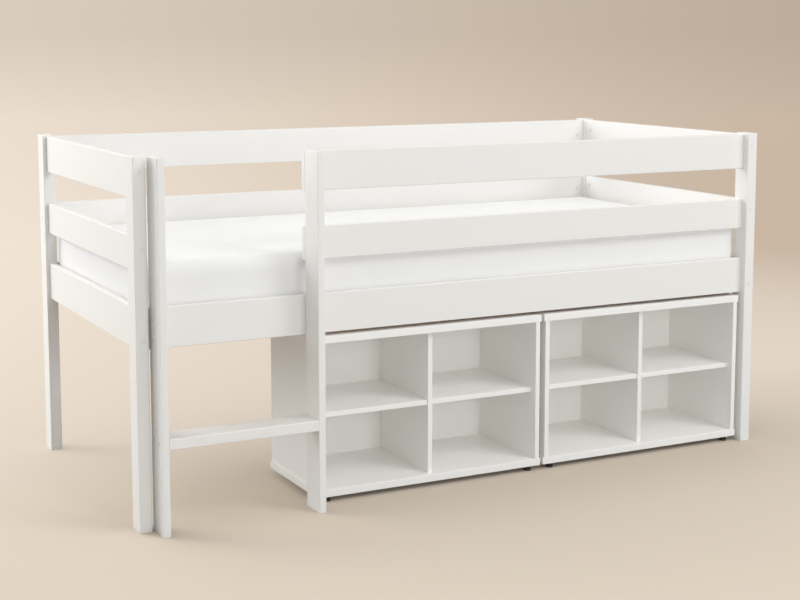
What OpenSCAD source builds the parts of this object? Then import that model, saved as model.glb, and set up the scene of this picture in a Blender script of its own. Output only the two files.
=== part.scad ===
// Mid sleeper bed with a plank ladder, guard rails, a slatted base, a mattress
// and two open cube units that stand under the bed and pull out at the front.
// Millimetres. X runs along the bed, -Y is the ladder side, Z is up.
// Built from the left posts' outer face and the front posts' front face, then
// moved so that the origin is the middle of the footprint, on the floor.

/* [Bed frame] */
// Length over the posts
bed_l = 2093; // [1893:1:2293]
// Width over the posts
bed_w = 995; // [895:1:1195]
// Height of the posts and the ladder uprights
post_h = 1020; // [960:1:1120]
// Post size along the bed
post_x = 36; // [34:1:46]
// Post size across the bed
post_y = 62; // [50:1:70]
// Height of the posts above the top rails
post_reveal = 4; // [1:0.5:10]
// Rounding of the edges of posts, rails and ladder
edge_r = 2.5; // [1:0.5:4]

/* [Rails] */
// Thickness of every rail
rail_t = 20; // [18:1:24]
// Front face of the long rails behind the face of the posts
rail_set = 25; // [20:1:28]
// Outer face of the end rails inside the face of the posts
end_set = 12; // [8:1:13]
// Height of the top rails
top_rail_h = 112; // [100:1:130]
// Height of the middle rails
mid_rail_h = 95; // [85:1:110]
// Height of the low rails that carry the base
low_rail_h = 114; // [105:1:130]
// Gap between the top and the middle rails
upper_gap = 100; // [80:1:120]
// Gap between the middle and the low rails
lower_gap = 98; // [80:1:115]

/* [Ladder] */
// Width over the ladder uprights
ladder_w = 478; // [420:1:560]
// Thickness of the uprights
ladder_t = 21; // [18:1:26]
// How far the ladder stands in front of the posts
ladder_proud = 64; // [50:1:90]
// Gap between the left upright and the post
ladder_gap = 9.5; // [2:0.5:12]
// Thickness of the tread
tread_t = 30; // [24:1:36]
// Height of the tread's top face
tread_top = 268; // [240:1:300]

/* [Slatted base] */
// Top of the slats below the top of the low rails
slat_recess = 30; // [20:1:36]
// Number of slats
slat_count = 16; // [12:1:18]
// Width of a slat
slat_w = 70; // [50:1:85]
// Thickness of a slat
slat_t = 18; // [15:1:20]
// Gap between a slat's end and the rail
slat_end_gap = 5; // [3:0.5:8]
// Gap between the end rails and the first slat
slat_start = 22; // [16:1:40]
// Height of the bearers under the slats
bearer_h = 30; // [25:1:34]
// Thickness of the bearers
bearer_t = 25; // [22:1:30]
// Width of the webbing under the slats
webbing_w = 22; // [15:1:30]
// Thickness of the webbing
webbing_t = 1.2; // [1:0.1:2]

/* [Mattress] */
// Thickness of the mattress along its edge
mattress_t = 146; // [110:1:180]
// Rise of the mattress at its middle
mattress_crown = 4; // [1:0.5:10]
// Gap between the mattress and the long rails
mattress_side_gap = 2.5; // [1:0.5:8]
// Gap between the mattress and the end rails
mattress_end_gap = 14.5; // [11:0.5:20]
// Radius of the mattress corners, seen from above
mattress_corner = 24; // [10:1:60]
// Radius of the upper edge
mattress_edge = 27; // [20:1:50]
// Depth to which the sides draw in between the corners
mattress_draw = 3; // [0:0.5:6]

/* [Cube units] */
// Depth of a unit
unit_d = 355; // [300:1:450]
// Front of the units behind the face of the posts
unit_set = 20; // [10:1:40]
// Gap between the ladder and the left unit
unit_gap_left = 10.5; // [6:0.5:20]
// Gap between the two units
unit_gap_mid = 9.5; // [5:0.5:20]
// Gap between the right unit and the post
unit_gap_right = 7; // [3:0.5:12]
// Gap between a unit's top and the low rail
unit_gap_top = 10; // [5:0.5:20]
// Thickness of the top and bottom boards
board_t = 22; // [18:1:26]
// Thickness of the sides, dividers, shelves and backs
panel_t = 15; // [15:1:19]
// Overhang of the top and bottom boards past the sides
board_lip = 5; // [1:0.5:8]
// Front edge of a divider behind the front of the unit
divider_set = 20; // [10:1:30]
// Front edge of a shelf behind the front of the unit
shelf_set = 26; // [12:1:40]
// Rounding of the edges of the unit boards
board_r = 1.5; // [0.5:0.5:3]
// Height of the glides under a unit
glide_h = 15; // [10:1:25]
// Diameter of a glide
glide_d = 22; // [18:1:30]
// Glide centre from the unit's ends
glide_in_x = 36; // [26:1:60]
// Glide centre from the unit's front and back
glide_in_y = 18; // [16:1:40]

/* [Fasteners] */
// Diameter of the bolt shanks
bolt_d = 6; // [5:0.5:6.5]
// Diameter of the bolt heads
bolt_head_d = 12; // [10:0.5:13]
// Height of the bolt heads
bolt_head_h = 3.5; // [3:0.5:4.5]
// Depth of the recess for a head and its cover cap
recess_deep = 6.5; // [6:0.5:8]
// Diameter of the barrel nuts
nut_d = 10; // [9:0.5:11]
// Length of the barrel nuts
nut_l = 14; // [12:0.5:15]
// Centre of a barrel nut from the end of its rail
nut_in = 28; // [22:1:36]
// Diameter of the dowels
dowel_d = 8; // [6:0.5:8]
// Length of a dowel in each of its two pieces
dowel_in = 14; // [10:0.5:14]
// Radial clearance of pins, bolts and nuts in their holes
fit_gap = 0.1; // [0.05:0.05:0.2]

/* [Hidden] */

curve_fn = 32;
tiny = 0.01;

// Where the rails lie
top_rail_z = post_h - post_reveal - top_rail_h;
mid_rail_z = top_rail_z - upper_gap - mid_rail_h;
low_rail_z = mid_rail_z - lower_gap - low_rail_h;
LOW = 0;
MID = 1;
TOP = 2;
rail_z = [low_rail_z, mid_rail_z, top_rail_z];
rail_h = [low_rail_h, mid_rail_h, top_rail_h];
front_y = rail_set;
back_y = bed_w - rail_set - rail_t;
left_x = end_set;
right_x = bed_l - end_set - rail_t;
inner_x0 = left_x + rail_t;
inner_x1 = right_x;
inner_y0 = front_y + rail_t;
inner_y1 = back_y;

// Heights of the fasteners in a rail, as a part of the rail's height: low, middle, top
end_bolt_at = [0.25, 0.66, 0.66];
end_dowel_at = [0.66, 0.3, 0.3];
long_bolt_at = [0.83, 0.48, 0.48];
long_dowel_at = [0.47, 0.84, 0.84];
ladder_bolt_at = [0.25, 0.75];

// Bolts: shank past its nut, nut from the ladder's back edge, socket sizes, caps over the heads
bolt_end = 3;
ladder_nut_deep = 30;
ladder_nut_in = rail_t + ladder_nut_deep;
ladder_bolt_l = ladder_nut_in + nut_d / 2 + bolt_end;
socket_wide = 0.8;
socket_deep = 0.6;
cap_proud = 0.4;
cap_gap = 0.1;

// Screws through the ladder uprights into the tread, placed as a part of the ladder's depth
tread_screw_at = [0.28, 0.72];
tread_screw_d = 5;
tread_screw_l = 55;
tread_head_d = 9;
tread_head_h = 3;

// Ladder
ladder_x0 = post_x + ladder_gap;
ladder_x1 = ladder_x0 + ladder_w - ladder_t;
ladder_deep = ladder_proud + rail_set;
tread_z = tread_top - tread_t;

// Base and mattress
slat_z = low_rail_z + low_rail_h - slat_recess - slat_t;
bearer_z = slat_z - bearer_h;
bearer_end_gap = 8;
bearer_x0 = post_x + bearer_end_gap;
bearer_l = bed_l - 2 * bearer_x0;
bearer_screws_n = 7;
bearer_screw_d = 4;
bearer_screw_head = 8;
bearer_screw_cone = 2.5;
bearer_screw_in = 14;
webbing_in = 60;
slat_pitch = (inner_x1 - inner_x0 - 2 * slat_start - slat_w) / (slat_count - 1);
seat_gap = 0.3;
mattress_z = slat_z + slat_t + seat_gap;
mattress_l = inner_x1 - inner_x0 - 2 * mattress_end_gap;
mattress_w = inner_y1 - inner_y0 - 2 * mattress_side_gap;
mattress_low_r = 12;

// Steps of the mattress's form: round a corner, along its sides, over its edges, across its crown,
// and the share of a corner's radius that is lost on the way over an edge
corner_n = 6;
long_n = 8;
short_n = 4;
top_edge_n = 6;
low_edge_n = 3;
under_share = 0.6;
corner_tightens = 0.6;
crown_shares = [0.93, 0.8, 0.6, 0.35];

// Cube units
bay_x0 = ladder_x1 + ladder_t;
bay_x1 = bed_l - post_x;
unit_w = (bay_x1 - bay_x0 - unit_gap_left - unit_gap_mid - unit_gap_right) / 2;
unit_h = low_rail_z - unit_gap_top;
left_unit_x = bay_x0 + unit_gap_left;
right_unit_x = bay_x1 - unit_gap_right - unit_w;
panel_h = unit_h - glide_h - 2 * board_t;
panel_z = glide_h + board_t;
cell_w = (unit_w - 2 * board_lip - 3 * panel_t) / 2;
cell_h = (panel_h - panel_t) / 2;
unit_inner_d = unit_d - panel_t;
side_at = board_lip;
divider_at = board_lip + panel_t + cell_w;
far_side_at = unit_w - board_lip - panel_t;
upright_panels = [side_at, divider_at, far_side_at];

// Dowels of a unit, from its front; those of the two shelves are staggered in the divider
unit_dowel_y = [60, unit_d - 70];
left_shelf_dowel_y = [90, unit_inner_d - 80];
right_shelf_dowel_y = [110, unit_inner_d - 60];
back_dowel_at = [0.25, 0.75];
panel_dowel_in = 9;

// Glides: the pin in the bottom board, the eased foot and the drawn-in neck
glide_pin_d = 8;
glide_pin_in = 12;
glide_edge = 1.2;
glide_neck = 3;

// Moves a piece from the corner of the bed to the middle of the footprint
module place()
    translate([-bed_l / 2, (ladder_proud - bed_w) / 2, 0]) children();

// Outline with rounded corners, from its own lower left corner
module soft_rect(w, h, r) {
    translate([r, 0]) square([w - 2 * r, h]);
    translate([0, r]) square([w, h - 2 * r]);
    for (x = [r, w - r], y = [r, h - r])
        translate([x, y]) circle(r = r, $fn = curve_fn);
}

// Board along X with eased long edges and square ends
module board_x(l, t, h, r)
    rotate([90, 0, 90]) linear_extrude(l) soft_rect(t, h, r);

// Board along Y with eased long edges and square ends
module board_y(t, l, h, r)
    translate([0, l, 0]) rotate([90, 0, 0]) linear_extrude(l) soft_rect(t, h, r);

// Post or upright: eased upright edges and an eased top, with a square foot
module upright(w, d, h, r)
    intersection() {
        linear_extrude(h) soft_rect(w, d, r);
        translate([0, d, 0]) rotate([90, 0, 0]) linear_extrude(d) foot_square(w, h, r);
        rotate([90, 0, 90]) linear_extrude(w) foot_square(d, h, r);
    }

// Outline with a square foot and a rounded top
module foot_square(w, h, r) {
    square([w, h - r]);
    translate([r, 0]) square([w - 2 * r, h]);
    for (x = [r, w - r])
        translate([x, h - r]) circle(r = r, $fn = curve_fn);
}

// Panel with all its edges eased
module eased_panel(w, d, h, r)
    intersection() {
        linear_extrude(h) soft_rect(w, d, r);
        board_y(w, d, h, r);
        board_x(w, d, h, r);
    }

// Round bar from the origin along X, Y or Z
module bar_x(d, l) rotate([0, 90, 0]) cylinder(d = d, h = l, $fn = curve_fn);
module bar_y(d, l) rotate([-90, 0, 0]) cylinder(d = d, h = l, $fn = curve_fn);
module bar_z(d, l) cylinder(d = d, h = l, $fn = curve_fn);

// Hexagonal socket in the head of a bolt or screw along +X
module hex_socket(d, head_h)
    translate([-tiny, 0, 0]) rotate([0, 90, 0])
        cylinder(d = d * socket_wide, h = head_h * socket_deep, $fn = 6);

// Bolt along +X with its head's top face at the origin; the shank ends in the barrel nut
module bolt_x(reach)
    difference() {
        union() {
            bar_x(bolt_head_d, bolt_head_h);
            bar_x(bolt_d, reach);
        }
        hex_socket(bolt_d, bolt_head_h);
    }

// Room for such a bolt, from the outer face at the origin
module bolt_room_x(reach) {
    translate([-tiny, 0, 0]) bar_x(bolt_head_d + 2 * fit_gap, recess_deep + tiny);
    bar_x(bolt_d + 2 * fit_gap, reach);
}

// Barrel nut along +Y, centred on the bolt, with the thread as a plain hole
module barrel_nut_y()
    difference() {
        translate([0, -nut_l / 2, 0]) bar_y(nut_d, nut_l);
        translate([-nut_d, 0, 0]) bar_x(bolt_d, 2 * nut_d);
    }

// Hole for a barrel nut, open towards +Y
module nut_room_y(deep) {
    translate([0, -nut_l / 2 - fit_gap, 0]) bar_y(nut_d + 2 * fit_gap, nut_l / 2 + fit_gap + deep + tiny);
}

// Swaps X and Y, so a fastener along X with its nut towards Y runs along Y
module swapped() mirror([1, -1, 0]) children();

// Carries a piece of the front left corner to any corner of the bed
module corner(right, back)
    translate([right ? bed_l : 0, back ? bed_w : 0, 0])
        mirror([right ? 1 : 0, 0, 0]) mirror([0, back ? 1 : 0, 0]) children();

// Levels at which a long rail meets a post: the guard rails stop at the ladder
function long_levels(right, back) = right || back ? [LOW, MID, TOP] : [LOW];

// Places on the outer faces of a post where its long rails and its end rails are fixed
module long_joint(right, back, at, levels)
    corner(right, back)
        for (k = levels)
            translate([0, rail_set + rail_t / 2, rail_z[k] + at[k] * rail_h[k]]) children();
module end_joint(right, back, at, levels)
    corner(right, back)
        for (k = levels)
            translate([end_set + rail_t / 2, 0, rail_z[k] + at[k] * rail_h[k]]) swapped() children();

// Places on the inner face of the rails where they are bolted to a ladder upright
module ladder_joint(left, levels)
    for (k = levels, at = ladder_bolt_at)
        translate([(left ? ladder_x0 : ladder_x1) + ladder_t / 2, inner_y0, rail_z[k] + at * rail_h[k]])
            mirror([left ? 1 : 0, 0, 0]) rotate([0, 0, -90]) children();

// A bolted joint through a post of the given thickness
function bolt_reach(thick) = thick + nut_in + nut_d / 2 + bolt_end - (recess_deep - bolt_head_h);
module joint_bolt(thick)
    translate([recess_deep - bolt_head_h, 0, 0]) bolt_x(bolt_reach(thick));
module joint_bolt_room(thick)
    bolt_room_x(thick + nut_in + nut_d / 2 + 2 * bolt_end);
module joint_nut(thick)
    translate([thick + nut_in, 0, 0]) barrel_nut_y();
module joint_nut_room(thick)
    translate([thick + nut_in, 0, 0]) nut_room_y(rail_t / 2);
module joint_dowel(thick)
    translate([thick - dowel_in, 0, 0]) bar_x(dowel_d, 2 * dowel_in);
module joint_dowel_room(thick)
    translate([thick - dowel_in - fit_gap, 0, 0])
        bar_x(dowel_d + 2 * fit_gap, 2 * (dowel_in + fit_gap));
module joint_cap() {
    bar_x(bolt_head_d, recess_deep - bolt_head_h - cap_gap);
    translate([-cap_proud, 0, 0]) rotate([0, 90, 0])
        cylinder(d1 = bolt_head_d - 2 * cap_proud, d2 = bolt_head_d, h = cap_proud, $fn = curve_fn);
}

// Bolts that hold the rails to the ladder uprights, from the rails' inner faces
module ladder_bolt() translate([fit_gap, 0, 0]) bolt_x(ladder_bolt_l);
module ladder_bolt_room() {
    translate([-tiny, 0, 0]) bar_x(bolt_head_d + 2 * fit_gap, bolt_head_h + fit_gap + tiny);
    bar_x(bolt_d + 2 * fit_gap, ladder_bolt_l + bolt_end);
}
module ladder_nut() translate([ladder_nut_in, 0, 0]) barrel_nut_y();
module ladder_nut_room() translate([ladder_nut_in, 0, 0]) nut_room_y(ladder_t / 2);

// Corner post
module post(right, back)
    color("#f4f3ef") place() difference() {
        corner(right, back) upright(post_x, post_y, post_h, edge_r);
        levels = long_levels(right, back);
        long_joint(right, back, long_bolt_at, levels) joint_bolt_room(post_x);
        long_joint(right, back, long_dowel_at, levels) joint_dowel_room(post_x);
        end_joint(right, back, end_bolt_at, [LOW, MID, TOP]) joint_bolt_room(post_y);
        end_joint(right, back, end_dowel_at, [LOW, MID, TOP]) joint_dowel_room(post_y);
    }

// Holes in the end of a long rail, and in the end of an end rail
module long_rail_holes(right, back, k) {
    long_joint(right, back, long_bolt_at, [k]) {
        joint_bolt_room(post_x);
        joint_nut_room(post_x);
    }
    long_joint(right, back, long_dowel_at, [k]) joint_dowel_room(post_x);
}
module end_rail_holes(right, back, k) {
    end_joint(right, back, end_bolt_at, [k]) {
        joint_bolt_room(post_y);
        joint_nut_room(post_y);
    }
    end_joint(right, back, end_dowel_at, [k]) joint_dowel_room(post_y);
}

// Rail across an end of the bed, between two posts
module end_rail(right, k)
    color("#f6f5f1") place() difference() {
        translate([right ? right_x : left_x, post_y, rail_z[k]])
            board_y(rail_t, bed_w - 2 * post_y, rail_h[k], edge_r);
        end_rail_holes(right, false, k);
        end_rail_holes(right, true, k);
    }

// Rail along the back, between two posts
module back_rail(k)
    color("#f2f1ed") place() difference() {
        translate([post_x, back_y, rail_z[k]])
            board_x(bed_l - 2 * post_x, rail_t, rail_h[k], edge_r);
        long_rail_holes(false, true, k);
        long_rail_holes(true, true, k);
        if (k == LOW) bearer_screw_rooms(true);
    }

// Low rail along the front, which also carries the ladder
module front_low_rail()
    color("#f2f1ed") place() difference() {
        translate([post_x, front_y, rail_z[LOW]])
            board_x(bed_l - 2 * post_x, rail_t, rail_h[LOW], edge_r);
        long_rail_holes(false, false, LOW);
        long_rail_holes(true, false, LOW);
        ladder_joint(true, [LOW]) ladder_bolt_room();
        ladder_joint(false, [LOW]) ladder_bolt_room();
        bearer_screw_rooms(false);
    }

// Guard rail from the ladder's right upright to the right post
module guard_rail(k)
    color("#f2f1ed") place() difference() {
        translate([ladder_x1, front_y, rail_z[k]])
            board_x(bed_l - post_x - ladder_x1, rail_t, rail_h[k], edge_r);
        long_rail_holes(true, false, k);
        ladder_joint(false, [k]) ladder_bolt_room();
    }

// Plank upright of the ladder, which stands on the floor and meets the rails with its back edge
module ladder_upright(left)
    color("#f3f2ee") place() difference() {
        translate([left ? ladder_x0 : ladder_x1, -ladder_proud, 0])
            upright(ladder_t, ladder_deep, post_h, edge_r);
        levels = left ? [LOW] : [LOW, MID, TOP];
        ladder_joint(left, levels) {
            ladder_bolt_room();
            ladder_nut_room();
        }
        tread_joint(left) tread_screw_room();
    }

// Tread between the two uprights
module ladder_tread()
    color("#f1f0ec") place() difference() {
        translate([ladder_x0 + ladder_t, -ladder_proud, tread_z])
            board_x(ladder_w - 2 * ladder_t, ladder_deep, tread_t, edge_r);
        tread_joint(true) tread_screw_room();
        tread_joint(false) tread_screw_room();
    }

// Screws through the outer faces of the uprights into the tread's ends
module tread_joint(left)
    for (at = tread_screw_at)
        translate([left ? ladder_x0 : ladder_x1 + ladder_t, at * ladder_deep - ladder_proud,
                   tread_z + tread_t / 2])
            mirror([left ? 0 : 1, 0, 0]) children();
module tread_screw()
    translate([fit_gap, 0, 0]) difference() {
        union() {
            bar_x(tread_head_d, tread_head_h);
            bar_x(tread_screw_d, tread_screw_l);
        }
        hex_socket(tread_screw_d, tread_head_h);
    }
module tread_screw_room() {
    translate([-tiny, 0, 0]) bar_x(tread_head_d + 2 * fit_gap, tread_head_h + fit_gap + tiny);
    bar_x(tread_screw_d + 2 * fit_gap, tread_screw_l + bolt_end);
}

// Bearer under the slats' ends, screwed to the inner face of a low rail
module slat_bearer(back)
    color("#e2c79b") place() difference() {
        corner(false, back)
            translate([bearer_x0, inner_y0, bearer_z])
                board_x(bearer_l, bearer_t, bearer_h, edge_r / 2);
        bearer_screw_rooms(back);
    }
module bearer_joint(back)
    corner(false, back)
        for (i = [0 : bearer_screws_n - 1])
            translate([bearer_x0 + bearer_l * (i + 0.5) / bearer_screws_n, inner_y0 + bearer_t,
                       bearer_z + bearer_h / 2])
                rotate([90, 0, 0]) children();
module bearer_screw(extra) {
    cylinder(d1 = bearer_screw_head + extra, d2 = bearer_screw_d + extra, h = bearer_screw_cone,
        $fn = curve_fn);
    bar_z(bearer_screw_d + extra, bearer_t + bearer_screw_in + extra);
}
module bearer_screw_rooms(back) bearer_joint(back) bearer_screw(2 * fit_gap);

// Slats across the bed, with eased long edges
module slats()
    color("#e8d0a6") place()
        for (i = [0 : slat_count - 1])
            translate([inner_x0 + slat_start + i * slat_pitch, inner_y0 + slat_end_gap, slat_z])
                board_y(slat_w, inner_y1 - inner_y0 - 2 * slat_end_gap, slat_t, edge_r);

// Two bands of webbing that keep the slats at their pitch
module slat_webbing()
    color("#d9d6cd") place()
        for (y = [inner_y0 + bearer_t + webbing_in, inner_y1 - bearer_t - webbing_in - webbing_w])
            translate([inner_x0 + slat_start, y, slat_z - webbing_t])
                cube([slat_w + slat_pitch * (slat_count - 1), webbing_w, webbing_t]);

// Mattress: a closed crowned form of rings, each ring an outline with drawn-in sides
function side_points(p, q, n, draw) =
    let (dir = (q - p) / norm(q - p), inward = [-dir.y, dir.x])
    [for (i = [1 : n - 1]) p + (q - p) * i / n + inward * draw * sin(180 * i / n)];
function corner_points(c, r, start) =
    [for (i = [0 : corner_n]) c + r * [cos(start + 90 * i / corner_n), sin(start + 90 * i / corner_n)]];
function ring_outline(a, b, r, draw) = concat(
    corner_points([a - r, b - r], r, 0), side_points([a - r, b], [r - a, b], long_n, draw),
    corner_points([r - a, b - r], r, 90), side_points([-a, b - r], [-a, r - b], short_n, draw),
    corner_points([r - a, r - b], r, 180), side_points([r - a, -b], [a - r, -b], long_n, draw),
    corner_points([a - r, r - b], r, 270), side_points([a, r - b], [a, b - r], short_n, draw));
function corner_r(inset) = mattress_corner * (1 - corner_tightens * inset / mattress_edge);
function mattress_ring(inset, z, s, draw) =
    [for (p = ring_outline(mattress_l / 2 - inset, mattress_w / 2 - inset, corner_r(inset), draw))
        [p.x * s, p.y * s, z]];
function low_edge(a) =
    let (turned = 1 - sin(a))
    mattress_ring(mattress_low_r * (1 - cos(a)), mattress_low_r * turned, 1, mattress_draw * turned);
function top_edge(a) =
    mattress_ring(mattress_edge * (1 - cos(a)), mattress_t - mattress_edge * (1 - sin(a)), 1, mattress_draw);
function crown(s) =
    mattress_ring(mattress_edge, mattress_t + mattress_crown * (1 - s * s), s, mattress_draw);
mattress_rings = concat(
    [mattress_ring(mattress_low_r, 0, under_share, 0)],
    [for (i = [0 : low_edge_n]) low_edge(90 - 90 * i / low_edge_n)],
    [for (i = [0 : top_edge_n]) top_edge(90 * i / top_edge_n)],
    [for (s = crown_shares) crown(s)]);
ring_n = len(mattress_rings[0]);
under_centre = len(mattress_rings) * ring_n;
top_centre = under_centre + 1;
last_ring = under_centre - ring_n;
mattress_points = concat(
    [for (ring = mattress_rings, p = ring) p],
    [[0, 0, 0], [0, 0, mattress_t + mattress_crown]]);
mattress_faces = concat(
    [for (k = [0 : len(mattress_rings) - 2], j = [0 : ring_n - 1], half = [0, 1])
        let (a = k * ring_n + j, b = k * ring_n + (j + 1) % ring_n, c = a + ring_n, d = b + ring_n)
        half == 0 ? [a, c, d] : [a, d, b]],
    [for (j = [0 : ring_n - 1]) [under_centre, j, (j + 1) % ring_n]],
    [for (j = [0 : ring_n - 1]) [top_centre, last_ring + (j + 1) % ring_n, last_ring + j]]);
module mattress()
    color("#fbfbf9") place()
        translate([(inner_x0 + inner_x1) / 2, (inner_y0 + inner_y1) / 2, mattress_z])
            polyhedron(points = mattress_points, faces = mattress_faces);

// Fasteners of the bed, each kind as one group
module rail_bolts()
    color("silver") place() at_every_joint() joint_bolt($thick);
module rail_barrel_nuts()
    color("silver") place() at_every_joint() joint_nut($thick);
module cover_caps()
    color("#fbfaf7") place() at_every_joint() joint_cap();
module at_every_joint()
    for (right = [false, true], back = [false, true]) {
        long_joint(right, back, long_bolt_at, long_levels(right, back)) let ($thick = post_x) children();
        end_joint(right, back, end_bolt_at, [LOW, MID, TOP]) let ($thick = post_y) children();
    }
module rail_dowels()
    color("#dcbf92") place()
        for (right = [false, true], back = [false, true]) {
            long_joint(right, back, long_dowel_at, long_levels(right, back)) joint_dowel(post_x);
            end_joint(right, back, end_dowel_at, [LOW, MID, TOP]) joint_dowel(post_y);
        }
module ladder_bolts()
    color("silver") place() {
        ladder_joint(true, [LOW]) ladder_bolt();
        ladder_joint(false, [LOW, MID, TOP]) ladder_bolt();
    }
module ladder_barrel_nuts()
    color("silver") place() {
        ladder_joint(true, [LOW]) ladder_nut();
        ladder_joint(false, [LOW, MID, TOP]) ladder_nut();
    }
module tread_screws()
    color("silver") place() {
        tread_joint(true) tread_screw();
        tread_joint(false) tread_screw();
    }
module bearer_screws()
    color("silver") place() {
        bearer_joint(false) bearer_screw(0);
        bearer_joint(true) bearer_screw(0);
    }

// Cube unit: every piece is drawn from the unit's own lower front left corner
module unit_at(x) place() translate([x, unit_set, 0]) children();

// Dowels between the upright panels and the boards, and between the shelves, backs and panels
module panel_joint(top, panels)
    for (x = panels, y = unit_dowel_y)
        translate([x + panel_t / 2, y, top ? panel_z + panel_h : panel_z]) children();
module shelf_joint(x0, x1, ys)
    for (y = ys, end = [0, 1])
        translate([end == 0 ? x0 : x1, y, panel_z + cell_h + panel_t / 2])
            mirror([end, 0, 0]) children();
module back_joint()
    for (at = back_dowel_at, end = [0, 1])
        translate([end == 0 ? side_at + panel_t : far_side_at, unit_inner_d + panel_t / 2,
                   panel_z + at * panel_h])
            mirror([end, 0, 0]) children();
module board_dowel(extra)
    translate([0, 0, -dowel_in - extra]) bar_z(dowel_d + 2 * extra, 2 * (dowel_in + extra));
module cross_dowel(extra)
    translate([-panel_dowel_in - extra, 0, 0])
        bar_x(dowel_d + 2 * extra, panel_dowel_in + dowel_in + 2 * extra);
module left_shelf_joint() shelf_joint(side_at + panel_t, divider_at, left_shelf_dowel_y) children();
module right_shelf_joint() shelf_joint(divider_at + panel_t, far_side_at, right_shelf_dowel_y) children();

module unit_top(x)
    color("#f3f2ef") unit_at(x) difference() {
        translate([0, 0, unit_h - board_t]) eased_panel(unit_w, unit_d, board_t, board_r);
        panel_joint(true, upright_panels) board_dowel(fit_gap);
    }
module unit_bottom(x)
    color("#f1f0ed") unit_at(x) difference() {
        translate([0, 0, glide_h]) eased_panel(unit_w, unit_d, board_t, board_r);
        panel_joint(false, upright_panels) board_dowel(fit_gap);
        at_glides() bar_z(glide_pin_d + 2 * fit_gap, glide_h + glide_pin_in + fit_gap);
    }
module unit_side(x, far)
    color("#f2f1ee") unit_at(x) difference() {
        at = far ? far_side_at : side_at;
        translate([at, 0, panel_z]) linear_extrude(panel_h) soft_rect(panel_t, unit_d, board_r);
        panel_joint(true, [at]) board_dowel(fit_gap);
        panel_joint(false, [at]) board_dowel(fit_gap);
        if (far) right_shelf_joint() cross_dowel(fit_gap);
        else left_shelf_joint() cross_dowel(fit_gap);
        back_joint() cross_dowel(fit_gap);
    }
module unit_divider(x)
    color("#f0efec") unit_at(x) difference() {
        translate([divider_at, divider_set, panel_z])
            linear_extrude(panel_h) soft_rect(panel_t, unit_inner_d - divider_set, board_r);
        panel_joint(true, [divider_at]) board_dowel(fit_gap);
        panel_joint(false, [divider_at]) board_dowel(fit_gap);
        left_shelf_joint() cross_dowel(fit_gap);
        right_shelf_joint() cross_dowel(fit_gap);
    }
module unit_shelf(x, far)
    color("#efeeeb") unit_at(x) difference() {
        translate([far ? divider_at + panel_t : side_at + panel_t, shelf_set, panel_z + cell_h])
            board_x(cell_w, unit_inner_d - shelf_set, panel_t, board_r);
        if (far) right_shelf_joint() cross_dowel(fit_gap);
        else left_shelf_joint() cross_dowel(fit_gap);
    }
module unit_back(x)
    color("#e9e8e4") unit_at(x) difference() {
        translate([side_at + panel_t, unit_inner_d, panel_z])
            cube([far_side_at - side_at - panel_t, panel_t, panel_h]);
        back_joint() cross_dowel(fit_gap);
    }
module unit_dowels(x)
    color("#dcbf92") unit_at(x) {
        panel_joint(true, upright_panels) board_dowel(0);
        panel_joint(false, upright_panels) board_dowel(0);
        left_shelf_joint() cross_dowel(0);
        right_shelf_joint() cross_dowel(0);
        back_joint() cross_dowel(0);
    }

// Black glides with a pin pressed into the bottom board
module at_glides()
    for (x = [glide_in_x, unit_w - glide_in_x], y = [glide_in_y, unit_d - glide_in_y])
        translate([x, y, 0]) children();
module unit_glides(x)
    color("#1d1d1d") unit_at(x) at_glides() {
        r = glide_d / 2;
        rotate_extrude($fn = curve_fn) polygon([
            [0, 0], [r - glide_edge, 0], [r, glide_edge], [r, glide_h / 2],
            [r - glide_neck, glide_h / 2 + glide_neck], [r - glide_neck, glide_h],
            [glide_pin_d / 2, glide_h], [glide_pin_d / 2, glide_h + glide_pin_in],
            [0, glide_h + glide_pin_in]]);
    }

post(false, false);  // post_front_left
post(true, false);  // post_front_right
post(false, true);  // post_back_left
post(true, true);  // post_back_right
end_rail(false, TOP);  // left_end_top_rail
end_rail(false, MID);  // left_end_mid_rail
end_rail(false, LOW);  // left_end_low_rail
end_rail(true, TOP);  // right_end_top_rail
end_rail(true, MID);  // right_end_mid_rail
end_rail(true, LOW);  // right_end_low_rail
back_rail(TOP);  // back_top_rail
back_rail(MID);  // back_mid_rail
back_rail(LOW);  // back_low_rail
front_low_rail();
guard_rail(TOP);  // guard_top_rail
guard_rail(MID);  // guard_mid_rail
ladder_upright(true);  // ladder_upright_left
ladder_upright(false);  // ladder_upright_right
ladder_tread();
slat_bearer(false);  // slat_bearer_front
slat_bearer(true);  // slat_bearer_back
slats();
slat_webbing();
mattress();
rail_bolts();
rail_barrel_nuts();
rail_dowels();
cover_caps();
ladder_bolts();
ladder_barrel_nuts();
tread_screws();
bearer_screws();
unit_top(left_unit_x);  // left_unit_top
unit_bottom(left_unit_x);  // left_unit_bottom
unit_side(left_unit_x, false);  // left_unit_left_side
unit_side(left_unit_x, true);  // left_unit_right_side
unit_divider(left_unit_x);  // left_unit_divider
unit_shelf(left_unit_x, false);  // left_unit_left_shelf
unit_shelf(left_unit_x, true);  // left_unit_right_shelf
unit_back(left_unit_x);  // left_unit_back
unit_dowels(left_unit_x);  // left_unit_dowels
unit_glides(left_unit_x);  // left_unit_glides
unit_top(right_unit_x);  // right_unit_top
unit_bottom(right_unit_x);  // right_unit_bottom
unit_side(right_unit_x, false);  // right_unit_left_side
unit_side(right_unit_x, true);  // right_unit_right_side
unit_divider(right_unit_x);  // right_unit_divider
unit_shelf(right_unit_x, false);  // right_unit_left_shelf
unit_shelf(right_unit_x, true);  // right_unit_right_shelf
unit_back(right_unit_x);  // right_unit_back
unit_dowels(right_unit_x);  // right_unit_dowels
unit_glides(right_unit_x);  // right_unit_glides
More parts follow.
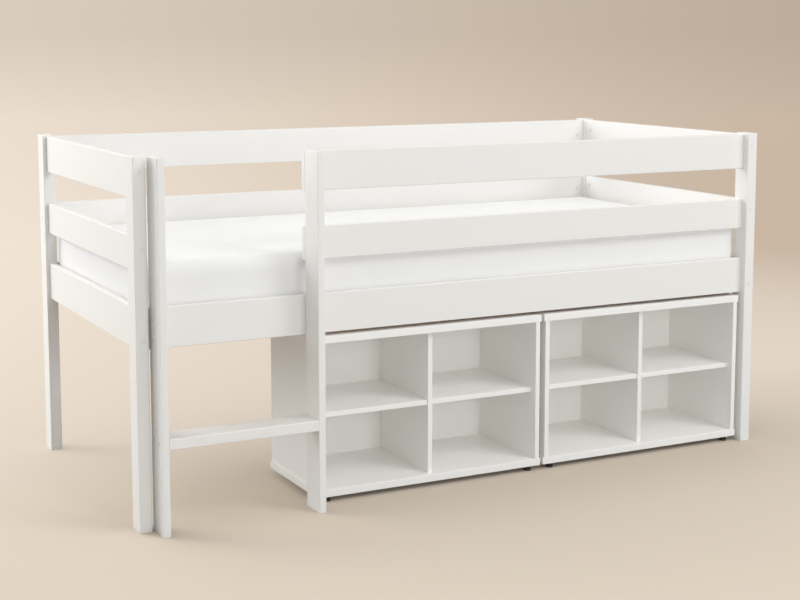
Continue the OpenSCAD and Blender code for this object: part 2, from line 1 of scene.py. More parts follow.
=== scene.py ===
# %% [markdown]
# # A white mid sleeper bed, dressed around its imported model
#
# This lesson takes a mid sleeper bed whose posts, rails, ladder, slats, fasteners and cube units already
# exist as exact parts, and gives it its looks. The parts come in as a fixed frame: their shapes and places
# stay, and they get painted wood, coated board, bare pine, beech, webbing, zinc and plastic. The mattress is
# soft, so it is modelled here as a swollen, padded form that takes the place of its plain stand-in.
# Everything is in metres. X runs along the bed, the ladder stands on the -Y side, and Z is up.

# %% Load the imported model
import math

import bpy
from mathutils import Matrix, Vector


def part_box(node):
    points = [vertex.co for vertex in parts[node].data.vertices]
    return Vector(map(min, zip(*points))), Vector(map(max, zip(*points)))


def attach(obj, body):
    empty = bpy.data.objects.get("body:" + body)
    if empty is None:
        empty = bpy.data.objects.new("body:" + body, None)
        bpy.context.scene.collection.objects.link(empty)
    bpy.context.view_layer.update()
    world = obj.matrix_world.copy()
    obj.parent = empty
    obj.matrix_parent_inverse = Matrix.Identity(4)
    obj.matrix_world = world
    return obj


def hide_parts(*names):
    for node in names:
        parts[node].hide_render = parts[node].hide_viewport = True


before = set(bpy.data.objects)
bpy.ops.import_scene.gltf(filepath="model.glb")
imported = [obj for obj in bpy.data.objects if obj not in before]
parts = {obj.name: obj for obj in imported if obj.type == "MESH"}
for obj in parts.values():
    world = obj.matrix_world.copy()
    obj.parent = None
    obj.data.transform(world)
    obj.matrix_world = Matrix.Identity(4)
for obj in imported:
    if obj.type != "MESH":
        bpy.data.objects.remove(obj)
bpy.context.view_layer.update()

# %% [markdown]
# ## Measure before making
#
# The mattress and the floor take their places from the parts. The room between the rails is measured here
# and is compared with the finished mattress further down, so a misfit shows in the printed lines as soon as
# a part changes.

# %% The room inside the rails
front_low, front_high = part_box("front_low_rail")
room_low = Vector((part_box("left_end_low_rail")[1].x, front_high.y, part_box("slats")[1].z))
room_high = Vector((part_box("right_end_low_rail")[0].x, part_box("back_low_rail")[0].y, front_high.z))
print("room inside the rails:", [round(side, 4) for side in room_high - room_low])

# %% [markdown]
# ## The camera
#
# The picture was taken from the ladder end, a little above the guard rail, with a moderately long lens. Its
# uprights hardly lean, which comes from a lens that is shifted down while the camera stays almost level. A
# full shift would push the object out of the frame in the other views, so here a part of the framing comes
# from a small shift and the rest from a tilt of seven degrees.

# %% Place the camera
camera_at = Vector((-2.243, -4.319, 1.343))
turn_to_right = math.radians(27.26)
tilt_down = math.radians(7.02)
lens_mm = 68.5
sensor_mm = 36
lens_shift = -0.10

bpy.ops.object.camera_add(location=camera_at, rotation=(math.pi / 2 - tilt_down, 0, -turn_to_right))
camera = bpy.context.object
camera.name = "view_from_ladder_end"
camera.data.lens = lens_mm
camera.data.sensor_width = sensor_mm
camera.data.shift_y = lens_shift
bpy.context.scene.camera = camera
print(f"camera {camera.location.length:.2f} m from the middle of the bed's footprint")

# %% [markdown]
# ## A small language for finishes
#
# A finish in Blender is a tree of nodes. Written out link by link it is long and hard to read, so two small
# classes do the wiring. A Wire is the output of a node, and sums on it add Math nodes: `1 - mask` works as
# it does on paper. A Finish is one material, and its `node` method adds any node from its type, its
# settings and the values or wires of its inputs. Some sockets share a name, such as the two inputs of a
# Math node or the colours of a Mix node, and those are given by number.

# %% Wires that can be added, multiplied and divided
class Wire:
    """One output of a node, with arithmetic."""

    def __init__(self, finish, socket):
        self.finish = finish
        self.socket = socket

    def combine(self, operation, first, second):
        return self.finish.node("ShaderNodeMath", {"operation": operation}, {0: first, 1: second})

    def __add__(self, other):
        return self.combine("ADD", self, other)

    __radd__ = __add__

    def __mul__(self, other):
        return self.combine("MULTIPLY", self, other)

    __rmul__ = __mul__

    def __sub__(self, other):
        return self.combine("SUBTRACT", self, other)

    def __rsub__(self, other):
        return self.combine("SUBTRACT", other, self)

    def __truediv__(self, other):
        return self.combine("DIVIDE", self, other)

    def __rtruediv__(self, other):
        return self.combine("DIVIDE", other, self)


# %% A finish and its node tree
class Finish:
    """One material, or the world's light, built node by node."""

    def __init__(self, name, holder=None):
        self.material = holder or bpy.data.materials.new(name)
        self.material.use_nodes = True
        self.tree = self.material.node_tree
        self.tree.nodes.clear()
        self.place = self.node("ShaderNodeTexCoord", output="Generated" if holder else "Object")

    def node(self, kind, settings=None, inputs=None, output=0):
        """Adds a node and returns one of its outputs, or the node itself where it has none."""
        made = self.tree.nodes.new(kind)
        for key, value in (settings or {}).items():
            if key == "stops":
                self.set_stops(made.color_ramp, value)
            else:
                setattr(made, key, value)
        for key, value in (inputs or {}).items():
            if isinstance(value, Wire):
                self.tree.links.new(value.socket, made.inputs[key])
            else:
                made.inputs[key].default_value = value
        return Wire(self, made.outputs[output]) if len(made.outputs) else made

    @staticmethod
    def set_stops(ramp, stops):
        while len(ramp.elements) < len(stops):
            ramp.elements.new(1.0)
        for element, (position, colour) in zip(ramp.elements, stops):
            element.position = position
            element.color = colour

    def vector(self, operation, first, second=None, output="Vector"):
        """Vector arithmetic on one or two places, directions or sizes."""
        inputs = {0: first} if second is None else {0: first, 1: second}
        return self.node("ShaderNodeVectorMath", {"operation": operation}, inputs, output)

    def stretched(self, scale):
        """The place on the piece, with each axis scaled by its own number."""
        return self.vector("MULTIPLY", self.place, scale)

    def rise(self, value, start, end):
        """A smooth rise from 0 to 1 while a value goes from `start` to `end`."""
        return self.node("ShaderNodeMapRange", {"interpolation_type": "SMOOTHSTEP"},
                         {"Value": value, "From Min": start, "From Max": end})

    def noise(self, vector, scale, detail, distortion=0.0):
        inputs = {"Vector": vector, "Scale": scale, "Detail": detail, "Distortion": distortion}
        return self.node("ShaderNodeTexNoise", None, inputs)

    def ramp(self, value, stops):
        return self.node("ShaderNodeValToRGB", {"stops": stops}, {"Fac": value})

    def blend(self, amount, low, high):
        """A colour between two others."""
        inputs = {"Factor": amount, 6: low, 7: high}
        return self.node("ShaderNodeMix", {"data_type": "RGBA"}, inputs, output=2)

    def bump(self, height, distance, under=None):
        """A relief of a given depth in metres, which may lie on top of another."""
        inputs = {"Height": height, "Distance": distance}
        if under is not None:
            inputs["Normal"] = under
        return self.node("ShaderNodeBump", None, inputs)

    def surface(self, **sockets):
        """Ends the tree with one Principled shader. Underscores stand for the spaces in socket names."""
        inputs = {key.replace("_", " "): value for key, value in sockets.items()}
        shader = self.node("ShaderNodeBsdfPrincipled", None, inputs)
        self.node("ShaderNodeOutputMaterial", None, {"Surface": shader})
        return self.material


# %% Scales that several finishes need
grain_axis = {"x": 0, "y": 1, "z": 2}
wave_turn = 20


def board_scale(along, across_grain, with_grain):
    """The scales of a pattern that is stretched along a board."""
    scale = [across_grain] * 3
    scale[grain_axis[along]] = with_grain
    return scale


def wave_scale(pitch):
    """The Wave texture turns `wave_turn` radians per unit. At this scale it repeats once a pitch."""
    return 2 * math.pi / pitch / wave_turn


# %% [markdown]
# ## White paint on wood
#
# The bed is solid wood under a satin white lacquer. From a step away it reads as one calm white, but up
# close the grain telegraphs through as very shallow streaks that run along each board, the spray leaves a
# fine orange peel, and the sheen wanders a little where the coat is thicker. The streaks have to follow the
# board, so the same recipe is mixed three times, for boards along X, along Y and upright.

# %% The recipe for painted wood
paint_white = (0.868, 0.860, 0.838, 1)
paint_shade = (0.845, 0.836, 0.812, 1)
streaks_across = 260.0
streaks_along = 5.0
coat_clouds = 3.2
peel_fineness = 420.0
streak_depth = 0.00010
peel_depth = 0.00003


def painted_wood(name, along):
    finish = Finish(name)
    streaked = finish.stretched(board_scale(along, streaks_across, streaks_along))
    grain = finish.noise(streaked, 1.0, detail=3.0, distortion=0.4)
    coat = finish.noise(finish.place, coat_clouds, detail=2.0)
    peel = finish.noise(finish.place, peel_fineness, detail=1.0)
    tone = finish.blend(coat * 0.35 + grain * 0.12, paint_white, paint_shade)
    relief = finish.bump(grain, streak_depth, under=finish.bump(peel, peel_depth))
    return finish.surface(Base_Color=tone, Roughness=0.36 + coat * 0.10 + grain * 0.05,
                          Normal=relief, Coat_Weight=0.12, Coat_Roughness=0.25, IOR=1.48)


paint_along = {axis: painted_wood(f"white_paint_along_{axis}", axis) for axis in grain_axis}
print("paints:", [paint.name for paint in paint_along.values()])

# %% [markdown]
# ## Coated board
#
# The cube units are made of board with a factory coat. It has no grain, only a tight, even texture that the
# press leaves, and it is a touch flatter and whiter than the paint on the bed.

# %% The recipe for coated board
board_white = (0.926, 0.920, 0.901, 1)
board_shade = (0.914, 0.907, 0.886, 1)
board_clouds = 2.1
press_fineness = 900.0
press_depth = 0.00003


def coated_board(name):
    finish = Finish(name)
    cloud = finish.noise(finish.place, board_clouds, detail=2.0)
    texture = finish.noise(finish.place, press_fineness, detail=1.0)
    tone = finish.blend(cloud * 0.5, board_white, board_shade)
    relief = finish.bump(texture, press_depth)
    return finish.surface(Base_Color=tone, Roughness=0.42 + cloud * 0.08, Normal=relief, IOR=1.47)


white_board = coated_board("white_coated_board")

# %% [markdown]
# ## Planed pine
#
# The slats and their bearers are left unpainted. They are planed pine, in which growth rings cut lengthwise
# give wide arches of late wood. A picture of a board would look the same on each slat, so a Wave texture is
# stretched along the wood instead and bent by slow noise. Its saw profile climbs slowly and drops at once,
# as a ring darkens towards its late wood before the next one starts pale.

# %% The recipe for planed pine
early_wood = (0.80, 0.62, 0.40, 1)
summer_wood = (0.75, 0.54, 0.32, 1)
late_wood = (0.60, 0.38, 0.19, 1)
next_ring = (0.78, 0.59, 0.37, 1)
fibre_tone = (0.66, 0.46, 0.26, 1)
rings_across = 14.0
rings_along = 0.9
fibres_across = 520.0
fibres_along = 9.0
planed_depth = 0.00015
bands_across = {"x": "Y", "y": "X"}


def planed_pine(name, along):
    finish = Finish(name)
    ring_scale = board_scale(along, rings_across, rings_along)
    bend = finish.noise(finish.stretched(ring_scale), 1.3, detail=3.0, distortion=0.6)
    fibrous = finish.stretched(board_scale(along, fibres_across, fibres_along))
    fibre = finish.noise(fibrous, 1.0, detail=2.0)
    rings = finish.node("ShaderNodeTexWave", {"bands_direction": bands_across[along], "wave_profile": "SAW"},
                        {"Vector": finish.stretched(ring_scale), "Scale": 1.6, "Distortion": 5.5,
                         "Detail": 2.0, "Phase Offset": bend * 6.0})
    stops = [(0.0, early_wood), (0.7, summer_wood), (0.93, late_wood), (1.0, next_ring)]
    tone = finish.blend(fibre * 0.3, finish.ramp(rings, stops), fibre_tone)
    relief = finish.bump(fibre * 0.6 + bend * 0.4, planed_depth)
    return finish.surface(Base_Color=tone, Roughness=0.58 + fibre * 0.16, Normal=relief)


pine_along = {axis: planed_pine(f"planed_pine_along_{axis}", axis) for axis in bands_across}

# %% [markdown]
# ## Beech dowels
#
# Beech is plainer than pine, with short flecks and no arches. One noise texture is enough for it, because a
# dowel is as thin as a pencil and sits inside its joint.

# %% The recipe for beech
beech_pale = (0.70, 0.50, 0.30, 1)
beech_warm = (0.62, 0.42, 0.24, 1)
beech_fleck = (0.50, 0.32, 0.17, 1)
fleck_scale = (90.0, 90.0, 300.0)
fleck_depth = 0.0001


def beech(name):
    finish = Finish(name)
    fleck = finish.noise(finish.stretched(fleck_scale), 4.0, detail=2.0)
    tone = finish.ramp(fleck, [(0.35, beech_pale), (0.6, beech_warm), (0.75, beech_fleck)])
    relief = finish.bump(fleck, fleck_depth)
    return finish.surface(Base_Color=tone, Roughness=0.55 + fleck * 0.1, Normal=relief)


beech_dowel = beech("beech_dowel")

# %% [markdown]
# ## Woven webbing
#
# Two bands of webbing keep the slats apart. Modelled threads would take more triangles than the rest of the
# bed. So the weave is two sets of fine waves that cross, multiplied with each other, and noise adds the fuzz
# of the yarn.

# %% The recipe for webbing
thread_pitch = 0.0016
thread_depth = 0.0004
thread_grey = (0.56, 0.55, 0.52, 1)
thread_pale = (0.78, 0.77, 0.73, 1)
fuzz_fineness = 260.0


def woven_band(name):
    finish = Finish(name)
    warp, weft = (finish.node("ShaderNodeTexWave", {"bands_direction": direction, "wave_profile": "SIN"},
                              {"Vector": finish.place, "Scale": wave_scale(thread_pitch),
                               "Distortion": 0.3}) for direction in ("X", "Y"))
    weave = warp * weft
    fuzz = finish.noise(finish.place, fuzz_fineness, detail=3.0)
    tone = finish.blend(weave * 0.6 + fuzz * 0.3, thread_grey, thread_pale)
    relief = finish.bump(weave, thread_depth)
    return finish.surface(Base_Color=tone, Roughness=0.86 + fuzz * 0.1, Normal=relief)


webbing = woven_band("woven_webbing")

# %% [markdown]
# ## Zinc plate
#
# The bolts and screws are zinc plated. The plating shows a faint bloom of patches in slightly different
# greys. Voronoi cells give such patches: each has a colour of its own, and how bright that is changes the
# tone and the roughness a little.

# %% The recipe for zinc plate
zinc_dull = (0.64, 0.65, 0.65, 1)
zinc_bright = (0.77, 0.77, 0.75, 1)
bloom_fineness = 380.0


def zinc_plate(name):
    finish = Finish(name)
    bloom = finish.node("ShaderNodeTexVoronoi", {"feature": "F1"},
                        {"Vector": finish.place, "Scale": bloom_fineness}, output="Color")
    value = finish.node("ShaderNodeRGBToBW", None, {"Color": bloom})
    tone = finish.blend(value * 0.5, zinc_dull, zinc_bright)
    return finish.surface(Base_Color=tone, Metallic=1.0, Roughness=0.28 + value * 0.14)


zinc = zinc_plate("zinc_plate")

# %% [markdown]
# ## Lacquer on the barrel nuts
#
# The barrel nuts come to the surface inside the rails, where bare metal would catch the eye. They wear the
# same white lacquer as the wood, so they hardly show. On steel it has no grain to follow, and only lies a
# little thicker in some places than in others.

# %% The recipe for lacquered steel
pool_fineness = 300.0
pool_depth = 0.00005


def lacquered_steel(name):
    finish = Finish(name)
    pooled = finish.noise(finish.place, pool_fineness, detail=2.0)
    tone = finish.blend(pooled * 0.5, paint_white, paint_shade)
    relief = finish.bump(pooled, pool_depth)
    return finish.surface(Base_Color=tone, Roughness=0.34 + pooled * 0.12, Normal=relief,
                          Coat_Weight=0.12, Coat_Roughness=0.25)


nut_lacquer = lacquered_steel("white_lacquered_nut")

# %% [markdown]
# ## Moulded plastic
#
# The caps over the bolts are white plastic, and the glides under the cube units black. A mould leaves the
# same traces on both, a very fine grain and soft clouds of handling, so one recipe does for the two. Its
# tones, the depth of its grain and its dullness are given with each call.

# %% The recipe for plastic, for the caps and for the glides
cap_white = (0.83, 0.82, 0.80, 1)
cap_shade = (0.79, 0.78, 0.755, 1)
glide_black = (0.012, 0.012, 0.013, 1)
glide_worn = (0.03, 0.03, 0.03, 1)
spark_fineness = 1400.0
handling_clouds = 40.0


def moulded_plastic(name, fresh, handled, spark_depth, dull):
    finish = Finish(name)
    spark = finish.noise(finish.place, spark_fineness, detail=2.0)
    handling = finish.noise(finish.place, handling_clouds, detail=3.0)
    tone = finish.blend(handling * 0.6, fresh, handled)
    relief = finish.bump(spark, spark_depth)
    return finish.surface(Base_Color=tone, Roughness=dull + handling * 0.12, Normal=relief)


white_plastic = moulded_plastic("white_cap_plastic", cap_white, cap_shade, spark_depth=0.00002, dull=0.34)
black_plastic = moulded_plastic("black_glide_plastic", glide_black, glide_worn, spark_depth=0.00006,
                                dull=0.45)
print(len(bpy.data.materials), "materials so far")

# %% [markdown]
# ## Hand out the finishes
#
# Each part keeps its mesh and only swaps its material. The grain runs the way the board was sawn: posts and
# ladder uprights stand, end rails and slats run along Y, and everything else runs along X.

# %% Which finish goes on which part
def dress(names, finish):
    for name in names:
        parts[name].data.materials.clear()
        parts[name].data.materials.append(finish)


uprights = [name for name in parts if name.startswith(("post_", "ladder_upright_"))]
end_rails = [name for name in parts if "_end_" in name]
long_rails = ["back_top_rail", "back_mid_rail", "back_low_rail", "front_low_rail", "guard_top_rail",
              "guard_mid_rail", "ladder_tread"]
unit_boards = [name for name in parts if "_unit_" in name and not name.endswith(("dowels", "glides"))]
fasteners = ["rail_bolts", "ladder_bolts", "tread_screws", "bearer_screws"]

dress(uprights, paint_along["z"])
dress(end_rails, paint_along["y"])
dress(long_rails, paint_along["x"])
dress(unit_boards, white_board)
dress(["slats"], pine_along["y"])
dress(["slat_bearer_front", "slat_bearer_back"], pine_along["x"])
dress(["slat_webbing"], webbing)
dress(["rail_dowels", "left_unit_dowels", "right_unit_dowels"], beech_dowel)
dress(["cover_caps"], white_plastic)
dress(["left_unit_glides", "right_unit_glides"], black_plastic)
dress(fasteners, zinc)
dress(["rail_barrel_nuts", "ladder_barrel_nuts"], nut_lacquer)
print(len(uprights), "uprights,", len(end_rails), "end rails,", len(unit_boards), "unit boards")

# %% [markdown]
# ## The mattress cover
#
# The cover is a close knit, bright and quite matt. Two sets of fine waves at right angles make the loops,
# and slow noise changes how tightly they lie. The waves follow the piece's own place, so they stay still
# when the mattress is lifted.

# %% A close knit
knit_white = (0.905, 0.906, 0.908, 1)
knit_shade = (0.865, 0.867, 0.872, 1)
loop_pitch = 0.0014
loop_depth = 0.00012
lie_clouds = 5.0
lie_depth = 0.0012


def close_knit(name):
    finish = Finish(name)
    rows, columns = (finish.node("ShaderNodeTexWave", {"bands_direction": direction},
                                 {"Vector": finish.place, "Scale": wave_scale(loop_pitch)})
                     for direction in ("X", "Y"))
    loops = rows * columns
    lie = finish.noise(finish.place, lie_clouds, detail=3.0)
    tone = finish.blend(lie * 0.5 + loops * 0.15, knit_white, knit_shade)
    relief = finish.bump(loops, loop_depth, under=finish.bump(lie, lie_depth))
    return finish.surface(Base_Color=tone, Roughness=0.88 + lie * 0.06, Normal=relief, Sheen_Weight=0.25,
                          Sheen_Roughness=0.5, Specular_IOR_Level=0.2)


mattress_knit = close_knit("mattress_knit")

# %% [markdown]
# ## The mattress
#
# A mattress is foam or springs in a tight cover. Its underside lies flat on the slats, its long edges are
# rounded, its corners are round seen from above, and the filling presses the cover outwards, so the top
# crowns a little and the sides draw in between the corners. It could be a smoothed box, but then every edge
# would look machined. Here a box is bevelled as by hand, remeshed evenly, and blown up a few millimetres by
# the cloth solver with its underside held where it rests on the slats. As the top rises, the cover pulls
# the sides in, so only the height leaves room to swell. The box starts at the mattress's full width and a
# little more than its length, so its ends press towards the end rails and no daylight shows beside the
# posts.

# %% Helpers for work in edit mode
def only(piece):
    """Selects one object and nothing else."""
    bpy.ops.object.select_all(action="DESELECT")
    piece.select_set(True)
    bpy.context.view_layer.objects.active = piece


def pick_edges(piece, wanted):
    """In edit mode, selects the edges whose two ends satisfy a test."""
    bpy.ops.mesh.select_all(action="DESELECT")
    bpy.ops.object.mode_set(mode="OBJECT")
    vertices = piece.data.vertices
    for edge in piece.data.edges:
        first, second = (vertices[i].co for i in edge.vertices)
        edge.select = wanted(first, second)
    bpy.ops.object.mode_set(mode="EDIT")


def apply_all(piece):
    only(piece)
    for modifier in list(piece.modifiers):
        bpy.ops.object.modifier_apply(modifier=modifier.name)


# %% A bevelled box of the mattress's size, a little low because it will swell
mattress_low, mattress_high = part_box("mattress")
room_to_swell = 0.002
end_spread = 0.0115
edge_high = 0.027
edge_low = 0.012
corner_round = 0.018
tolerance = 0.001
size = mattress_high - mattress_low
middle = (mattress_low + mattress_high) / 2
box_height = size.z - room_to_swell
box_top = mattress_low.z + box_height

bpy.ops.object.select_all(action="DESELECT")
bpy.ops.mesh.primitive_cube_add(size=1, location=(middle.x, middle.y, mattress_low.z + box_height / 2))
mattress = bpy.context.object
mattress.name = "mattress_pad"
mattress.scale = (size.x + 2 * end_spread, size.y, box_height)
bpy.ops.object.transform_apply(location=True, rotation=True, scale=True)

bpy.context.tool_settings.mesh_select_mode = (False, True, False)
bpy.ops.object.mode_set(mode="EDIT")
pick_edges(mattress, lambda a, b: abs(a.z - b.z) > size.z / 2)
bpy.ops.mesh.bevel(offset=corner_round, offset_type="OFFSET", segments=10, profile=0.5)
pick_edges(mattress, lambda a, b: min(a.z, b.z) > box_top - tolerance)
bpy.ops.mesh.bevel(offset=edge_high, segments=8, profile=0.5)
pick_edges(mattress, lambda a, b: max(a.z, b.z) < mattress_low.z + tolerance)
bpy.ops.mesh.bevel(offset=edge_low, segments=4, profile=0.5)
bpy.ops.object.mode_set(mode="OBJECT")
print("bevelled box:", len(mattress.data.polygons), "faces")

# %% [markdown]
# The even mesh comes from a voxel remesh. Its voxel is a compromise: 13.5 mm still follows the 27 mm edge,
# and after one subdivision the piece stays under 200,000 triangles.

# %% Remesh evenly
voxel = 0.0135
remesh = mattress.modifiers.new("even mesh", "REMESH")
remesh.mode = "VOXEL"
remesh.voxel_size = voxel
apply_all(mattress)
print("after the remesh:", len(mattress.data.vertices), "vertices")

# %% [markdown]
# The cloth solver would blow the cover up like a balloon, because it knows nothing of the filling that holds
# the two faces together. Its result is used for the direction in which each point moves, and the distance
# is capped at a few millimetres. The cap is a soft one, a hyperbolic tangent, so no edge shows where it
# bites.

# %% Blow it up with the cloth solver, and cap how far a point may move
pressure = 4.0
farthest = 0.0045
last_frame = 20


def swell_with_cloth(piece, held_below):
    """Runs the solver, then moves each point by at most `farthest`, softly."""
    held = piece.vertex_groups.new(name="resting")
    held.add([vertex.index for vertex in piece.data.vertices if vertex.co.z < held_below], 1.0, "REPLACE")
    cloth = piece.modifiers.new("cover under tension", "CLOTH")
    cloth.settings.use_pressure = True
    cloth.settings.uniform_pressure_force = pressure
    cloth.settings.effector_weights.gravity = 0
    cloth.settings.vertex_group_mass = "resting"
    cloth.point_cache.frame_end = last_frame
    only(piece)
    for step in range(1, last_frame + 1):
        bpy.context.scene.frame_set(step)
    posed = piece.evaluated_get(bpy.context.evaluated_depsgraph_get())
    moves = [after.co - before.co for after, before in zip(posed.data.vertices, piece.data.vertices)]
    piece.modifiers.remove(cloth)
    for vertex, move in zip(piece.data.vertices, moves):
        if move.length > 0:
            vertex.co += move.normalized() * farthest * math.tanh(move.length / farthest)
    bpy.context.scene.frame_set(1)
    return max(move.length for move in moves)


reach = swell_with_cloth(mattress, mattress_low.z + edge_low)
print(f"the solver moved a point by up to {1000 * reach:.1f} mm, capped at {1000 * farthest:.1f} mm")

# %% [markdown]
# A real cover is never quite smooth. Slow procedural clouds push it in and out by about a millimetre. Then a
# few rounds of smoothing and one level of subdivision even out what the voxels left.

# %% Soft unevenness, subdivision and a flat underside
cloud_size = 0.22
cloud_push = 0.0022
clouds = bpy.data.textures.new("slow_clouds", "CLOUDS")
clouds.noise_scale = cloud_size
clouds.noise_depth = 1
unevenness = mattress.modifiers.new("unevenness", "DISPLACE")
unevenness.texture = clouds
unevenness.texture_coords = "LOCAL"
unevenness.strength = cloud_push
unevenness.mid_level = 0.5
smoothing = mattress.modifiers.new("smoothing", "SMOOTH")
smoothing.factor = 0.5
smoothing.iterations = 3
finer = mattress.modifiers.new("finer mesh", "SUBSURF")
finer.levels = 1
finer.render_levels = 1
apply_all(mattress)
for vertex in mattress.data.vertices:
    vertex.co.z = max(vertex.co.z, mattress_low.z)
bpy.ops.object.shade_smooth()
mattress.vertex_groups.clear()
mattress.data.materials.append(mattress_knit)
print("mattress:", len(mattress.data.polygons), "faces, top at",
      round(max(vertex.co.z for vertex in mattress.data.vertices), 4))

# %% How much room it leaves inside the rails
for axis, direction in enumerate(("length", "width")):
    reached = [vertex.co[axis] for vertex in mattress.data.vertices]
    left_over = (min(reached) - room_low[axis], room_high[axis] - max(reached))
    print(f"room left over in its {direction}:", [f"{1000 * gap:.1f} mm" for gap in left_over])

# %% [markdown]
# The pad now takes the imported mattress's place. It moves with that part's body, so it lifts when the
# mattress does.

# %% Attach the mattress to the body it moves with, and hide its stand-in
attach(mattress, "mattress")
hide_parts("mattress")

# %% [markdown]
# ## Floor and light
#
# The floor is a plain, pale, warm sheet that runs out of sight. Far from the bed it melts into the backdrop
# colour, so there is no horizon line in any view. The light is soft and plain. The sky glows overhead,
# behind the bed and towards its left end. A broad lamp behind the left end makes its faces the brightest,
# one behind the bed throws its shadow forwards, a high one at the right front lights the long rails, and a
# low one in front reaches into the cubes.

# %% The backdrop's colour, brightest towards one side of the room
backdrop_bright = (0.893, 0.792, 0.679, 1)
backdrop_dim = (0.590, 0.475, 0.375, 1)
bright_side = (-0.5, 0.866, 0)
bright_from = 0.2


def backdrop_tone(finish, direction):
    side = finish.vector("DOT_PRODUCT", direction, bright_side, output="Value")
    return finish.blend(finish.rise(side, bright_from, 1.0), backdrop_dim, backdrop_bright)


def looks(finish):
    """1 for a ray that shows the room, straight on, in a gloss or through something clear, and 0 for one
    that only brings light."""
    kinds = ("Is Camera Ray", "Is Glossy Ray", "Is Transmission Ray")
    seen, shine, through = (finish.node("ShaderNodeLightPath", output=kind) for kind in kinds)
    return seen + shine + through


# %% [markdown]
# The floor has to be pale and still hold the bed's shadow. Lit paint alone would show a grey stain all round
# the bed, and a glowing sheet alone would show no shadow. So it mixes both: out in the open a part of it
# glows with the tone that the lit floor has there. Behind the bed more of it glows, and paler, which is
# painted light that thins the bed's shadow there. Along the line of the cube units' fronts it is all lit
# paint, and with distance it turns into pure backdrop, at last at the level at which the sky shows it.
# Light that bounces off the floor meets an almost grey tone, so the warm floor doesn't stain the white bed.
# From below the floor is clear, so that the underside can be looked at.

# %% Tones and distances of the floor
floor_paint = (0.646, 0.565, 0.472, 1)
floor_open = (0.735, 0.648, 0.545, 1)
# Behind the bed the floor glows stronger and paler: painted light that thins the bed's shadow there.
floor_painted_light_behind = (0.840, 0.735, 0.632, 1)
floor_bounce = (0.42, 0.41, 0.395, 1)
lit_share = 0.65
lit_share_behind = 0.5
behind_from = -0.3
behind_to = 0.5
melt_from = 2.0
melt_to = 5.5
dim_from = 20.0
far_level = 0.85
shade_reach = 0.6
units_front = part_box("left_unit_bottom")[0].y
fronts_middle = ((front_low.x + front_high.x) / 2, units_front, 0)
fronts_half = ((front_high.x - front_low.x) / 2, 0, 1)


# %% What the floor is made of
def away_from_fronts(finish):
    """0 on the line of the units' fronts, all along the bed, and 1 from `shade_reach` away from it on."""
    apart = finish.vector("ABSOLUTE", finish.vector("SUBTRACT", finish.place, fronts_middle))
    outside = finish.vector("MAXIMUM", finish.vector("SUBTRACT", apart, fronts_half), (0, 0, 0))
    return finish.rise(finish.vector("LENGTH", outside, output="Value"), 0.0, shade_reach)


def floor_sheet(name):
    finish = Finish(name)
    away = finish.vector("LENGTH", finish.place, output="Value")
    direction = finish.vector("NORMALIZE", finish.place)
    melt = finish.rise(away, melt_from, melt_to)
    level = finish.node("ShaderNodeMapRange", None,
                        {"Value": dim_from / away, "From Min": 0.0, "From Max": 1.0, "To Min": far_level,
                         "To Max": 1.0})
    y_place = finish.node("ShaderNodeSeparateXYZ", None, {"Vector": finish.place}, output="Y")
    # Behind the bed more of the floor glows, and in a paler tone: painted light over the bed's shadow.
    behind = finish.rise(y_place, behind_from, behind_to)
    rays = looks(finish)
    far_tone = backdrop_tone(finish, direction)
    open_tone = finish.blend(behind, floor_open, floor_painted_light_behind)
    paint = finish.blend(rays, floor_bounce, finish.blend(melt, floor_paint, far_tone))
    sheet = finish.node("ShaderNodeBsdfDiffuse", None, {"Color": paint})
    glow = finish.node("ShaderNodeEmission", None,
                       {"Color": finish.blend(melt, open_tone, far_tone), "Strength": level})
    share = lit_share - behind * (lit_share - lit_share_behind)
    glowing = (1 - (1 - melt) * share) * away_from_fronts(finish)
    top = finish.node("ShaderNodeMixShader", None, {0: glowing * rays, 1: sheet, 2: glow})
    from_below = finish.node("ShaderNodeNewGeometry", output="Backfacing")
    clear = finish.node("ShaderNodeBsdfTransparent")
    either_side = finish.node("ShaderNodeMixShader", None, {0: from_below * rays, 1: top, 2: clear})
    finish.node("ShaderNodeOutputMaterial", None, {"Surface": either_side})
    return finish.material


# %% Lay the floor, just below the feet
floor_reach = 400.0
floor_drop = 0.0005
bpy.ops.object.select_all(action="DESELECT")
bpy.ops.mesh.primitive_circle_add(vertices=64, radius=floor_reach, fill_type="NGON",
                                  location=(0, 0, -floor_drop))
floor = bpy.context.object
floor.name = "studio_floor"
bpy.ops.object.transform_apply(location=True, rotation=True, scale=True)
floor.data.materials.append(floor_sheet("studio_floor"))
print(f"the floor reaches {floor_reach:.0f} m and glows at {far_level} of its level far away")

# %% [markdown]
# The sky has two jobs. To the camera and in a gloss it shows the backdrop. To a ray that only brings light
# it is an almost white glow, made of three parts that each fade away from a direction of their own. In the
# world's nodes, Generated is the direction of the ray, so a dot product tells how far it lies towards each.

# %% The sky, which gives soft light and shows the backdrop to the camera
sky_colour = (1.0, 0.995, 0.985, 1)
overhead_glow = 0.84
left_glow = 0.39
behind_glow = 0.42

world = bpy.data.worlds.new("soft_studio")
bpy.context.scene.world = world
sky = Finish("soft_studio", world)


def towards(direction):
    """How far a place in the sky lies towards a direction: 1 there, and 0 a right angle away or more."""
    lean = sky.vector("DOT_PRODUCT", sky.place, direction, output="Value")
    return sky.node("ShaderNodeMath", {"operation": "MAXIMUM"}, {0: lean, 1: 0.0})


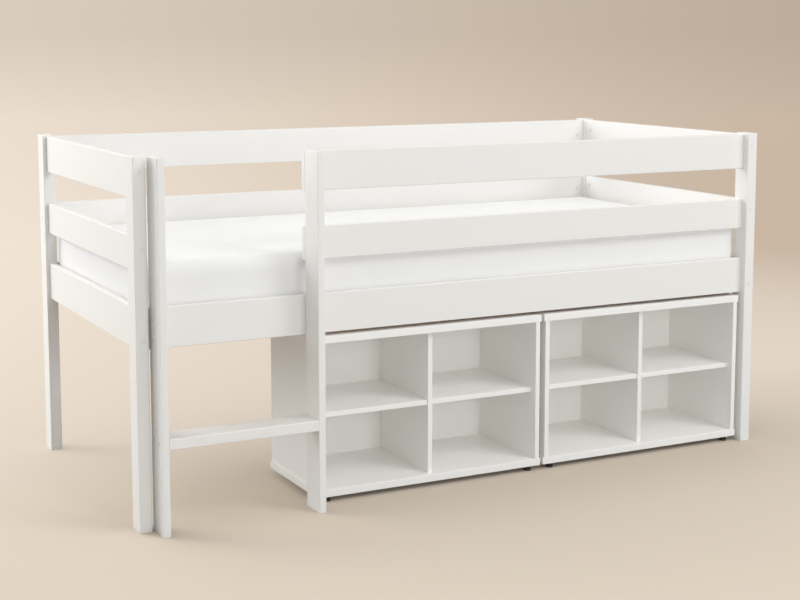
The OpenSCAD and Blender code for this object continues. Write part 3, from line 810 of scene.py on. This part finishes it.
overhead = towards((0, 0, 1)) * overhead_glow
left = towards((-1, 0, 0)) * left_glow
behind = towards((0, 1, 0)) * behind_glow
even = sky.node("ShaderNodeBackground", None, {"Color": sky_colour, "Strength": overhead + left + behind})
far_tone = backdrop_tone(sky, sky.place)
backdrop = sky.node("ShaderNodeBackground", None, {"Color": far_tone, "Strength": far_level})
either = sky.node("ShaderNodeMixShader", None, {0: looks(sky), 1: even, 2: backdrop})
sky.node("ShaderNodeOutputWorld", None, {"Surface": either})
print("the sky glows", overhead_glow, "overhead,", left_glow, "at the left and", behind_glow, "behind")

# %% [markdown]
# A lamp's power in watts says little about how bright it makes the bed. So each lamp is given by the level
# at which it alone would show a white sheet that faces it, and the power is worked out from that and the
# distance. Inside the cubes much of the light has bounced several times, so up to eight bounces are traced.

# %% Broad lamps
aim = Vector((0, 0, 0.5))
light_bounces = 8


def broad_lamp(name, turn, height, distance, width, level):
    """A round lamp that faces the bed. `turn` is its bearing from +Y towards +X and `height` its elevation,
    both in degrees. `level` is how brightly it alone shows a white sheet that faces it."""
    turn, height = math.radians(turn), math.radians(height)
    away = Vector((math.sin(turn) * math.cos(height), math.cos(turn) * math.cos(height), math.sin(height)))
    bpy.ops.object.light_add(type="AREA", location=aim + away * distance)
    lamp = bpy.context.object
    lamp.name = name
    lamp.data.shape = "DISK"
    lamp.data.size = width
    lamp.data.energy = level * math.pi ** 2 * distance ** 2
    # A lamp shines along its own -Z, so its Z axis points away from the bed.
    lamp.rotation_euler = away.to_track_quat("Z", "Y").to_euler()
    lamp.visible_camera = False
    return lamp


lamps = [
    broad_lamp("back_left", turn=-55, height=20, distance=5.0, width=3.0, level=0.46),
    broad_lamp("behind", turn=-20, height=40, distance=5.0, width=3.0, level=0.15),
    broad_lamp("right_front", turn=150, height=35, distance=6.0, width=3.0, level=0.32),
    broad_lamp("low_front", turn=180, height=10, distance=6.5, width=2.0, level=0.20)]

scene = bpy.context.scene
scene.view_settings.view_transform = "Standard"
scene.cycles.diffuse_bounces = light_bounces
print("lamps:", {lamp.name: round(lamp.data.energy) for lamp in lamps})
